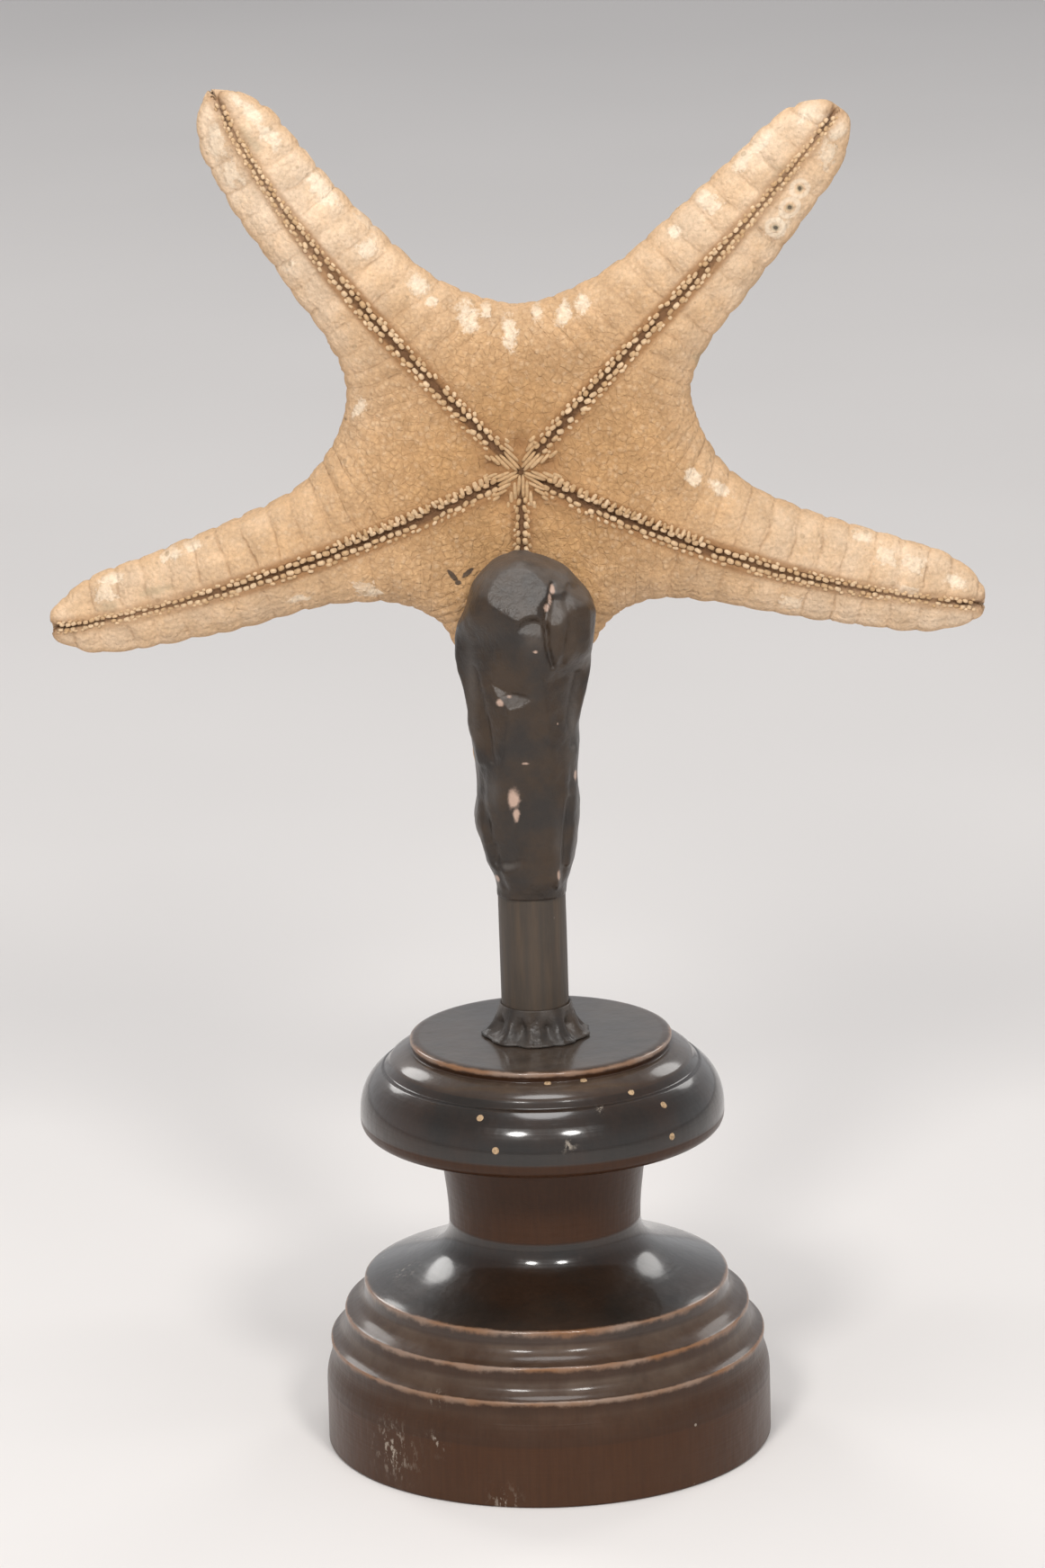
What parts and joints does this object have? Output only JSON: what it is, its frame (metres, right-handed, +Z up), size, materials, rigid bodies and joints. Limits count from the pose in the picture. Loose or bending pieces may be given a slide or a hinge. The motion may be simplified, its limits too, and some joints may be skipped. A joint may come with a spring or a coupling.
{
  "type": "dried starfish on a turned wooden stand",
  "caption": "Dried starfish shown upright, mouth side forward, its lowest arm held in dark putty on a round post in a turned, moulded wooden foot.",
  "frame": {"origin": "centre of the turned foot's round underside", "axes": "+Z up, -Y the way the starfish's mouth side faces, +X to the viewer's right"},
  "size_m": [0.22, 0.106, 0.324],
  "materials": {
    "dried_starfish": "dry chalky skin of limy plates, matt",
    "dark_putty": "hand-pressed modelling putty under dark satin paint",
    "dark_post": "dark satin paint",
    "ebonised_wood": "ebonised and waxed, semi-gloss, worn at the edges"
  },
  "bodies": {
    "root": {"starfish": "dried_starfish", "putty_holder": "dark_putty", "putty_collar": "dark_putty", "post": "dark_post", "turned_foot": "ebonised_wood"}
  },
  "joints": []
}
